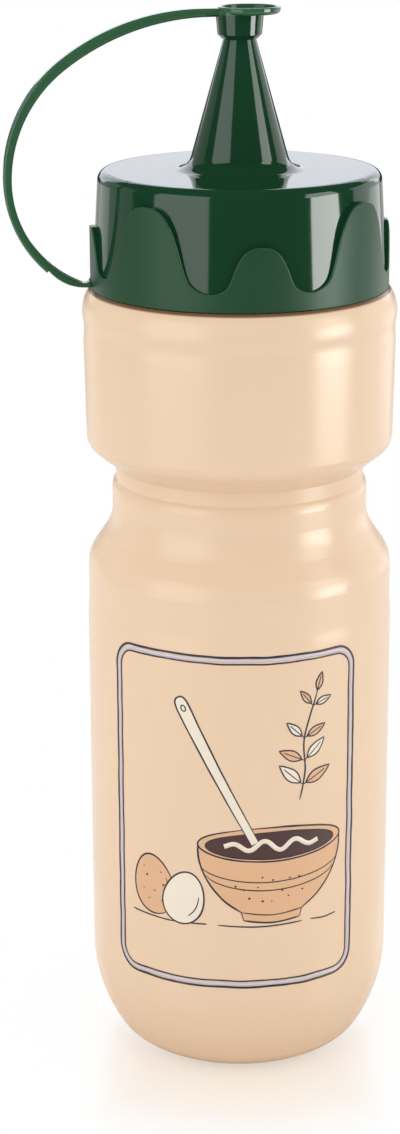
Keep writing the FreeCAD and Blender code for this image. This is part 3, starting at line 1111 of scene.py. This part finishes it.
@dataclass
class WallTrees:
    """Geometry Nodes that lay flat drawings on the round wall."""

    stray_per_metre: float = 130.0
    press_per_metre: float = 210.0
    press_seed: float = 5.0
    speck_sides: int = 12
    speck_least: float = 0.6
    speck_most: float = 1.25
    speck_squat: float = 0.85
    densest: float = 400000.0

    def __post_init__(self) -> None:
        """Builds the shared wrap and the two trees that use it."""
        self.wrap = self._wrap_tree()
        self.line = self._line_tree()
        self.speck = self._speck_tree()

    @staticmethod
    def _tree(name: str, seed: str, *numbers: tuple[str, float]) -> GrowthGraph:
        """A new tree that lays ink on the wall.

        Args:
            name: the tree's name.
            seed: the socket type of its Seed.
            numbers: name and default of each further number.

        Returns:
            The tree's graph, still empty.
        """
        floats = (("Wall Radius", 0.033), ("Ink Top", 0.00005), *numbers)
        inputs = [(label, "NodeSocketFloat", default) for label, default in floats]
        inputs += [("Seed", seed, None), ("Ink", "NodeSocketMaterial", None)]
        return GrowthGraph(name, inputs)

    @staticmethod
    def _moved(g: Graph, geometry: Feed, key: str, feed: Feed) -> bpy.types.NodeSocket:
        """The geometry with its points set by Position or moved by Offset."""
        return g.out("GeometryNodeSetPosition", None, {"Geometry": geometry, key: feed})

    def _wrap_tree(self) -> bpy.types.NodeTree:
        """Builds the tree that bends (u, z, height) round the upright axis.

        Returns:
            The tree.
        """
        g = GrowthGraph("wrap_on_wall", [("Wall Radius", "NodeSocketFloat", 0.033)])
        u, z, height = g.axes(g.position())
        angle, reach = u / g.given("Wall Radius"), g.given("Wall Radius") + height
        bent = g.vector(reach * angle.sine(), -(reach * angle.cosine()), z)
        return g.finish(self._moved(g, g.given("Geometry"), "Position", bent))

    def _close(self, g: GrowthGraph, geometry: bpy.types.NodeSocket) -> bpy.types.NodeTree:
        """Wraps, realizes and paints the geometry, and ends the tree.

        Args:
            g: the tree's graph.
            geometry: what it has drawn.

        Returns:
            The finished tree.
        """
        inputs = {"Geometry": geometry, "Wall Radius": g.given("Wall Radius")}
        wrapped = g.out("GeometryNodeGroup", {"node_tree": self.wrap}, inputs)
        real = g.out("GeometryNodeRealizeInstances", None, {"Geometry": wrapped})
        painted = {"Geometry": real, "Material": g.given("Ink")}
        return g.finish(g.out("GeometryNodeSetMaterial", None, painted))

    def _line_tree(self) -> bpy.types.NodeTree:
        """Builds the tree that draws edges as inked lines, with a hand's slight waver.

        Returns:
            The tree.
        """
        numbers = (("Step", 0.0005), ("Waver", 0.0001), ("Pressure", 0.2))
        g = self._tree("inked_lines", "NodeSocketFloat", *numbers)
        seed, waver, place = g.given("Seed"), g.given("Waver"), g.position()
        curve = g.out("GeometryNodeMeshToCurve", None, {0: g.given("Geometry")})
        steps = {"Curve": curve, "Length": g.given("Step")}
        even = g.out("GeometryNodeResampleCurve", {"mode": "LENGTH"}, steps)
        du, dz, _ = g.axes(g.cloud(place, self.stray_per_metre, 1.0, seed, "Color"))
        stray = g.vector((du - 0.5) * waver * 2, (dz - 0.5) * waver * 2, 0.0)
        strayed = self._moved(g, even, "Offset", stray)
        press = Value(g, g.cloud(place, self.press_per_metre, 1.0, seed + self.press_seed))
        swell = 1.0 + (press - 0.5) * 2 * g.given("Pressure")
        name = {"Name": "half_width"}
        width = g.value("GeometryNodeInputNamedAttribute", {"data_type": "FLOAT"}, name)
        square = {"Width": 2.0, "Height": 2.0}
        sweep = {
            "Curve": g.out("GeometryNodeSetCurveNormal", {"mode": "Z_UP"}, {"Curve": strayed}),
            "Profile Curve": g.out("GeometryNodeCurvePrimitiveQuadrilateral", None, square),
            "Scale": width * swell,
            "Fill Caps": True,
        }
        ribbon = g.out("GeometryNodeCurveToMesh", None, sweep)
        x, y, z = g.axes(g.position())
        level = g.vector(x, y, (z > 0.0) * (g.given("Ink Top") - INK_FOOT) + INK_FOOT)
        return self._close(g, self._moved(g, ribbon, "Position", level))

    def _speck_tree(self) -> bpy.types.NodeTree:
        """Builds the tree that strews small round specks over flat patches.

        Returns:
            The tree.
        """
        numbers = (("Spacing", 0.002), ("Speck Radius", 0.0003))
        g = self._tree("strewn_specks", "NodeSocketInt", *numbers)
        seed, top = g.given("Seed"), g.given("Ink Top")
        spread = {
            "Mesh": g.given("Geometry"),
            "Distance Min": g.given("Spacing"),
            "Density Max": self.densest,
            "Seed": seed,
        }
        method = {"distribute_method": "POISSON"}
        disc = {
            "Vertices": self.speck_sides,
            "Radius": g.given("Speck Radius"),
            "Depth": top - INK_FOOT,
        }
        speck = g.out("GeometryNodeMeshCylinder", {"fill_type": "NGON"}, disc)
        lift = {"Geometry": speck, "Translation": g.vector(0.0, 0.0, top / 2 + INK_FOOT)}
        sizes = {"Min_001": self.speck_least, "Max_001": self.speck_most, "Seed": seed}
        across = g.value("FunctionNodeRandomValue", {"data_type": "FLOAT"}, sizes, "Value_001")
        copies = {
            "Points": g.out("GeometryNodeDistributePointsOnFaces", method, spread, "Points"),
            "Instance": g.out("GeometryNodeTransform", None, lift),
            "Scale": g.vector(across, across * self.speck_squat, 1.0),
        }
        placed = g.out("GeometryNodeInstanceOnPoints", None, copies)
        return self._close(g, g.out("GeometryNodeRealizeInstances", None, {"Geometry": placed}))


@dataclass(frozen=True)
class Pass:
    """One piece of inked lines: its ink, and how the hand drew it."""

    name: str
    ink: Ink
    waver: float
    seed: float
    pressure: float
    lift: float = 0.0


@dataclass
class PrintedPanel:
    """The print on the front of the wall, one thin piece for each ink."""

    wall_radius: float
    body: str = "root"
    slice_width: float = 1.4
    line_step: float = 0.45
    line_tip: float = 0.45
    line_taper: float = 0.12
    speck_spacing: float = 1.9
    speck_radius: float = 0.24
    speck_lift: float = 0.000004
    speck_seed: int = 6
    border_passes: tuple[Pass, ...] = (
        Pass("print_rules", Ink.NAVY, 0.30, 11.0, 0.32),
        Pass("print_band", Ink.LILAC, 0.15, 17.0, 0.08),
    )
    motif_passes: tuple[Pass, ...] = (
        Pass("print_lines", Ink.NAVY, 0.11, 3.0, 0.32),
        Pass("print_ripple", Ink.CREAM, 0.0, 3.0, 0.08, 0.000005),
    )
    motifs: tuple[Motif, ...] = (
        Tabletop(),
        Sprig(),
        Egg((-19.6, 45.6), (5.1, 6.9), 9.0, Ink.TAN, specks=True),
        Egg((-12.2, 43.9), (4.7, 6.2), -14.0, Ink.CREAM),
        Bowl(),
        Spoon(),
    )

    def __post_init__(self) -> None:
        """Makes the geometry trees and the inks' materials."""
        self.trees = WallTrees()
        self.inks = {finish.ink: finish.material() for finish in INKS}

    def build(self) -> list[bpy.types.Object]:
        """Builds and dresses every piece of the print.

        Returns:
            The pieces, all riding on the body.
        """
        drawing = Drawing()
        for motif in self.motifs:
            drawing.add(motif.draw())
        pieces = []
        for ink in (Ink.TAN, Ink.CREAM, Ink.BROWN):
            outlines = [shape.outline for shape in drawing.fields if shape.ink is ink]
            pieces.append(self._field_piece(ink, outlines))
        for source, passes in ((Border().draw(), self.border_passes), (drawing, self.motif_passes)):
            for each in passes:
                strokes = [s for s in source.strokes if s.ink is each.ink]
                pieces.append(self._line_piece(each, strokes))
        pieces.append(self._speck_piece(drawing.specked))
        for piece in pieces:
            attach(piece, self.body)
        return pieces

    def _half_widths(self, stroke: Stroke) -> list[float]:
        """Half the line's width at each of its points.

        Args:
            stroke: the line.

        Returns:
            The half widths in metres; an open line of navy thins at both ends.
        """
        count = len(stroke.points)
        half = stroke.width * 0.5 * MM
        if stroke.closed or stroke.ink is not Ink.NAVY:
            return [half] * count
        taper = max(2.0, count * self.line_taper)
        shares = [min(i, count - 1 - i) for i in range(count)]
        return [half * min(1.0, self.line_tip + (1 - self.line_tip) * s / taper) for s in shares]

    def _line_piece(self, each: Pass, strokes: Sequence[Stroke]) -> bpy.types.Object:
        """One piece of inked lines.

        Args:
            each: its name and how it is drawn.
            strokes: its lines.

        Returns:
            The piece.
        """
        mesh = bpy.data.meshes.new(each.name)
        verts, edges, halves = [], [], []
        for stroke in strokes:
            first, count = len(verts), len(stroke.points)
            verts += [(u * MM, z * MM, 0.0) for u, z in stroke.points]
            edges += [(first + i, first + i + 1) for i in range(count - 1)]
            if stroke.closed:
                edges.append((first + count - 1, first))
            halves += self._half_widths(stroke)
        mesh.from_pydata(verts, edges, [])
        mesh.attributes.new("half_width", "FLOAT", "POINT").data.foreach_set("value", halves)
        inputs = {
            "Wall Radius": self.wall_radius,
            "Ink Top": each.ink.top + each.lift,
            "Step": self.line_step * MM,
            "Waver": each.waver * MM,
            "Pressure": each.pressure,
            "Seed": each.seed,
            "Ink": self.inks[each.ink],
        }
        return grown(plain_object(each.name + "_path", mesh), self.trees.line, inputs, each.name)

    def _speck_piece(self, patches: Sequence[Line]) -> bpy.types.Object:
        """The specks, as one piece.

        Args:
            patches: outlines that they are strewn over.

        Returns:
            The piece.
        """
        mesh = bpy.data.meshes.new("print_specks_patch")
        verts, faces = [], []
        for patch in patches:
            faces.append(tuple(range(len(verts), len(verts) + len(patch))))
            verts += [(u * MM, z * MM, 0.0) for u, z in patch]
        mesh.from_pydata(verts, [], faces)
        inputs = {
            "Wall Radius": self.wall_radius,
            "Ink Top": Ink.BROWN.top + self.speck_lift,
            "Spacing": self.speck_spacing * MM,
            "Speck Radius": self.speck_radius * MM,
            "Seed": self.speck_seed,
            "Ink": self.inks[Ink.BROWN],
        }
        return grown(plain_object(mesh.name, mesh), self.trees.speck, inputs, "print_specks")

    def _field_piece(self, ink: Ink, outlines: Sequence[Line]) -> bpy.types.Object:
        """Fields of one ink, cut in upright slices so that they bend with the wall.

        Args:
            ink: the ink.
            outlines: the fields' outlines.

        Returns:
            The piece: a thin closed sheet for each field.
        """
        name = "print_" + ink.name.lower()
        bm = bmesh.new()
        for outline in outlines:
            bm.faces.new([bm.verts.new((u * MM, z * MM, 0.0)) for u, z in outline])
        bm.normal_update()
        low = min(v.co.x for v in bm.verts)
        high = max(v.co.x for v in bm.verts)
        cuts = int((high - low) / (self.slice_width * MM))
        for i in range(1, cuts + 1):
            at = low + (high - low) * i / (cuts + 1)
            geom = [*bm.verts, *bm.edges, *bm.faces]
            bmesh.ops.bisect_plane(bm, geom=geom, plane_co=(at, 0.0, 0.0), plane_no=(1.0, 0.0, 0.0))
        top = bmesh.ops.extrude_face_region(bm, geom=list(bm.faces))["geom"]
        lifted = {v for v in top if isinstance(v, bmesh.types.BMVert)}
        for v in bm.verts:
            height = ink.top if v in lifted else INK_FOOT
            angle, reach = v.co.x / self.wall_radius, self.wall_radius + height
            v.co = (reach * math.sin(angle), -reach * math.cos(angle), v.co.y)
        bmesh.ops.triangulate(bm, faces=list(bm.faces))
        bmesh.ops.recalc_face_normals(bm, faces=list(bm.faces))
        mesh = bpy.data.meshes.new(name)
        bm.to_mesh(mesh)
        bm.free()
        mesh.materials.append(self.inks[ink])
        return plain_object(name, mesh)


# --- moulded parts


@dataclass
class Moulding:
    """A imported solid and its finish."""

    node: bpy.types.Object
    finish: Union[BlownPlastic, MouldedPlastic]

    def dress(self) -> None:
        """Puts the finish on all of the node's slots."""
        material = self.finish.material()
        if not self.node.data.materials:
            self.node.data.materials.append(material)
        for slot in self.node.material_slots:
            slot.material = material


@dataclass
class Bottle(Moulding):
    """The blown bottle."""

    finish: BlownPlastic = BlownPlastic()
    below_waist: float = 0.115

    def wall_radius(self) -> float:
        """Radius of the straight wall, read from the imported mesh."""
        wall = (v.co for v in self.node.data.vertices if v.co.z < self.below_waist)
        return max(math.hypot(place.x, place.y) for place in wall)


@dataclass
class Cap(Moulding):
    """The moulded cap."""

    finish: MouldedPlastic = MouldedPlastic()


# --- studio


class Sees(Enum):
    """What a lamp shows in: the light it casts, or its mirror image."""

    LIGHT = "light"
    MIRROR = "mirror"


@dataclass(frozen=True)
class Softbox:
    """A rectangular lamp that faces the object: azimuth 0 is in front, 90 on the right."""

    name: str
    sees: Sees
    azimuth: float
    distance: float
    height: float
    width: float
    tall: float
    radiance: float
    colour: Colour = WHITE
    aim: float = 0.12

    def build(self) -> None:
        """Puts the lamp in its place. A mirrored card hangs upright, a light aims at the wall."""
        data = bpy.data.lights.new(self.name, "AREA")
        data.shape, data.size, data.size_y = "RECTANGLE", self.width, self.tall
        data.color = self.colour
        data.energy = self.radiance * math.pi * self.width * self.tall
        lamp = bpy.data.objects.new(self.name, data)
        bpy.context.scene.collection.objects.link(lamp)
        a = math.radians(self.azimuth)
        lamp.location = (self.distance * math.sin(a), -self.distance * math.cos(a), self.height)
        aim = self.height if self.sees is Sees.MIRROR else self.aim
        way = Vector((0.0, 0.0, aim)) - lamp.location
        lamp.rotation_euler = way.to_track_quat("-Z", "Y").to_euler()
        lamp.visible_camera = False
        lamp.visible_diffuse = self.sees is Sees.LIGHT
        lamp.visible_glossy = self.sees is Sees.MIRROR


@dataclass
class Camera:
    """The camera in front of the bottle, a little above it."""

    distance: float = 0.51841
    height: float = 0.27313
    pitch: float = 17.5986
    yaw: float = 0.9502
    roll: float = -0.2383
    lens: float = 78.862
    sensor_width: float = 36.0
    near: float = 0.01
    far: float = 20.0

    def build(self) -> None:
        """Makes the camera and gives it to the scene."""
        data = bpy.data.cameras.new("camera")
        data.lens, data.sensor_width = self.lens, self.sensor_width
        data.clip_start, data.clip_end = self.near, self.far
        camera = bpy.data.objects.new("camera", data)
        bpy.context.scene.collection.objects.link(camera)
        turns = ((self.yaw, "Z"), (90.0 - self.pitch, "X"), (self.roll, "Z"))
        yaw, tilt, roll = (Matrix.Rotation(math.radians(angle), 4, axis) for angle, axis in turns)
        stand = Matrix.Translation((0.0, -self.distance, self.height))
        camera.matrix_world = stand @ (yaw @ tilt @ roll)
        bpy.context.scene.camera = camera


@dataclass(frozen=True)
class Floor:
    """A pale disc that fades into the white surround away from the bottle, with a
    painted warm reflection of the cream bottle near its foot.

    Spans are distances from the axis, in metres, unless they say otherwise.
    """

    radius: float = 0.55
    sides: int = 96
    painted_bounce_colour: Colour = (0.94, 0.88, 0.80)
    foot: Span = (0.034, 0.056)
    pale_low: float = 0.90
    pale_high: float = 0.93
    cloud_per_metre: float = 9.0
    roughness: float = 0.08
    roughness_swing: float = 0.03
    dulling: float = 0.6
    dulled: Span = (0.06, 0.14)
    ior: float = 2.1
    painted_glow_colour: Colour = (1.0, 0.93, 0.85)
    painted_glow_reach: Span = (0.036, 0.062)
    whitened: Span = (0.036, 0.068)
    whitened_sideways: Span = (0.018, 0.036)
    whitened_backwards: Span = (-0.026, 0.006)
    white_at_foot: float = 0.55
    white_beside: float = 0.82

    def build(self) -> bpy.types.Object:
        """Builds the floor.

        Returns:
            The disc.
        """
        bm = bmesh.new()
        bmesh.ops.create_circle(bm, cap_ends=True, segments=self.sides, radius=self.radius)
        mesh = bpy.data.meshes.new("floor")
        bm.to_mesh(mesh)
        bm.free()
        floor = plain_object("floor", mesh)
        mesh.materials.append(self.material())
        return floor

    def material(self) -> bpy.types.Material:
        """Builds the finish.

        Returns:
            A glossy pale material, whitened for the camera where it is far
            from the bottle's foot, beside it or behind it. Near the foot its
            colour and its glow are warm: a painted reflection of the cream bottle.
        """
        g = SurfaceGraph("pale_floor")
        x, y, _ = g.axes(g.place)
        radius = (x * x + y * y).root()
        beside = abs(x).ramp(*self.whitened_sideways).most(y.ramp(*self.whitened_backwards))
        cloud = g.noise(self.cloud_per_metre, detail=2.0, seed=9.0)
        pale = g.blend(cloud, shade(WHITE, self.pale_low), shade(WHITE, self.pale_high))
        gloss = self.roughness + cloud * self.roughness_swing
        surface = g.plastic(
            {
                # Painted reflection: the floor's colour is warm cream near the bottle's foot.
                "Base Color": g.blend(radius.ramp(*self.foot), shade(self.painted_bounce_colour), pale),
                "Roughness": gloss + radius.ramp(*self.dulled) * self.dulling,
                "IOR": self.ior,
            }
        )
        # Painted reflection: the white glow seen by the camera is warm cream near the foot.
        painted_glow_tint = g.blend(radius.ramp(*self.painted_glow_reach).most(beside), shade(self.painted_glow_colour), shade(WHITE))
        white = g.out("ShaderNodeEmission", None, {"Color": painted_glow_tint, "Strength": 1.0})
        seen = g.value("ShaderNodeLightPath", output="Is Camera Ray")
        open_floor = radius.ramp(*self.whitened).most(beside * self.white_beside)
        share = self.white_at_foot + (1 - self.white_at_foot) * open_floor
        return g.finish(g.mixed(seen * share, surface, white))


@dataclass
class Studio:
    """White surround and soft lamps."""

    fill: float = 0.82
    mirror_fill: float = 0.05
    lamps: tuple[Softbox, ...] = (
        Softbox("left_softbox", Sees.MIRROR, -47.0, 1.0, 0.28, 0.86, 1.10, 2.05),
        Softbox("right_softbox", Sees.MIRROR, 70.5, 1.0, 0.015, 0.47, 0.57, 10.2, (0.98, 1.0, 0.96)),
        Softbox("right_softbox_top", Sees.MIRROR, 70.5, 1.0, 0.565, 0.47, 0.53, 4.0, (0.96, 1.0, 0.95)),
        Softbox("back_card", Sees.MIRROR, 180.0, 1.2, 0.66, 2.0, 0.78, 1.55, (0.96, 0.96, 1.06)),
        Softbox("low_back_card", Sees.MIRROR, 180.0, 1.2, -0.18, 3.2, 0.44, 0.55),
        Softbox("right_back_card", Sees.MIRROR, 126.0, 1.2, 0.20, 1.10, 1.0, 1.20),
        Softbox("left_back_card", Sees.MIRROR, -122.0, 1.2, 0.25, 1.30, 1.1, 0.42),
        Softbox("left_light", Sees.LIGHT, -62.0, 1.1, 0.60, 0.9, 0.9, 0.74),
        Softbox("right_light", Sees.LIGHT, 66.0, 1.1, 0.60, 0.9, 0.9, 0.72),
        Softbox("left_edge_light", Sees.LIGHT, -112.0, 1.2, 0.45, 1.0, 1.0, 0.76),
        Softbox("right_edge_light", Sees.LIGHT, 112.0, 1.2, 0.45, 1.0, 1.0, 0.66),
        Softbox("top_light", Sees.LIGHT, 0.0, 0.2, 1.30, 0.9, 0.9, 0.42),
        Softbox("front_light", Sees.LIGHT, 0.0, 1.3, 0.70, 1.0, 0.8, 0.58),
    )

    def build(self) -> None:
        """Builds the world, the lamps and the view settings."""
        self._world()
        for lamp in self.lamps:
            lamp.build()
        bpy.context.scene.view_settings.view_transform = "Standard"

    def _world(self) -> None:
        """White where the camera looks, an even fill on the object, dark in its gloss."""
        world = bpy.data.worlds.new("studio")
        world.use_nodes = True
        world.node_tree.nodes.clear()
        bpy.context.scene.world = world
        g = Graph(world.node_tree)
        rays = g.node("ShaderNodeLightPath")
        seen, through, mirrored = (
            Value(g, rays.outputs[f"Is {kind} Ray"]) for kind in ("Camera", "Transmission", "Glossy")
        )
        direct = seen + through
        surround = self.fill + mirrored * (self.mirror_fill - self.fill)
        strength = direct + (1.0 - direct) * surround
        inputs = {"Color": shade(WHITE), "Strength": strength}
        background = g.out("ShaderNodeBackground", None, inputs)
        g.node("ShaderNodeOutputWorld", None, {"Surface": background})


def report(piece: bpy.types.Object) -> None:
    """Logs a piece's name and how many faces it has."""
    LOG.info("%s: %d faces", piece.name, len(piece.data.polygons))


def main() -> None:
    """Builds the classes in order."""
    logging.basicConfig(level=logging.INFO, format="%(name)s %(message)s")
    Camera().build()
    Floor().build()
    Studio().build()
    bottle, cap = Bottle(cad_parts["bottle"]), Cap(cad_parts["cap"])
    for moulding in (bottle, cap):
        moulding.dress()
        report(moulding.node)
    for piece in PrintedPanel(bottle.wall_radius()).build():
        report(piece)


if __name__ == "__main__":
    main()
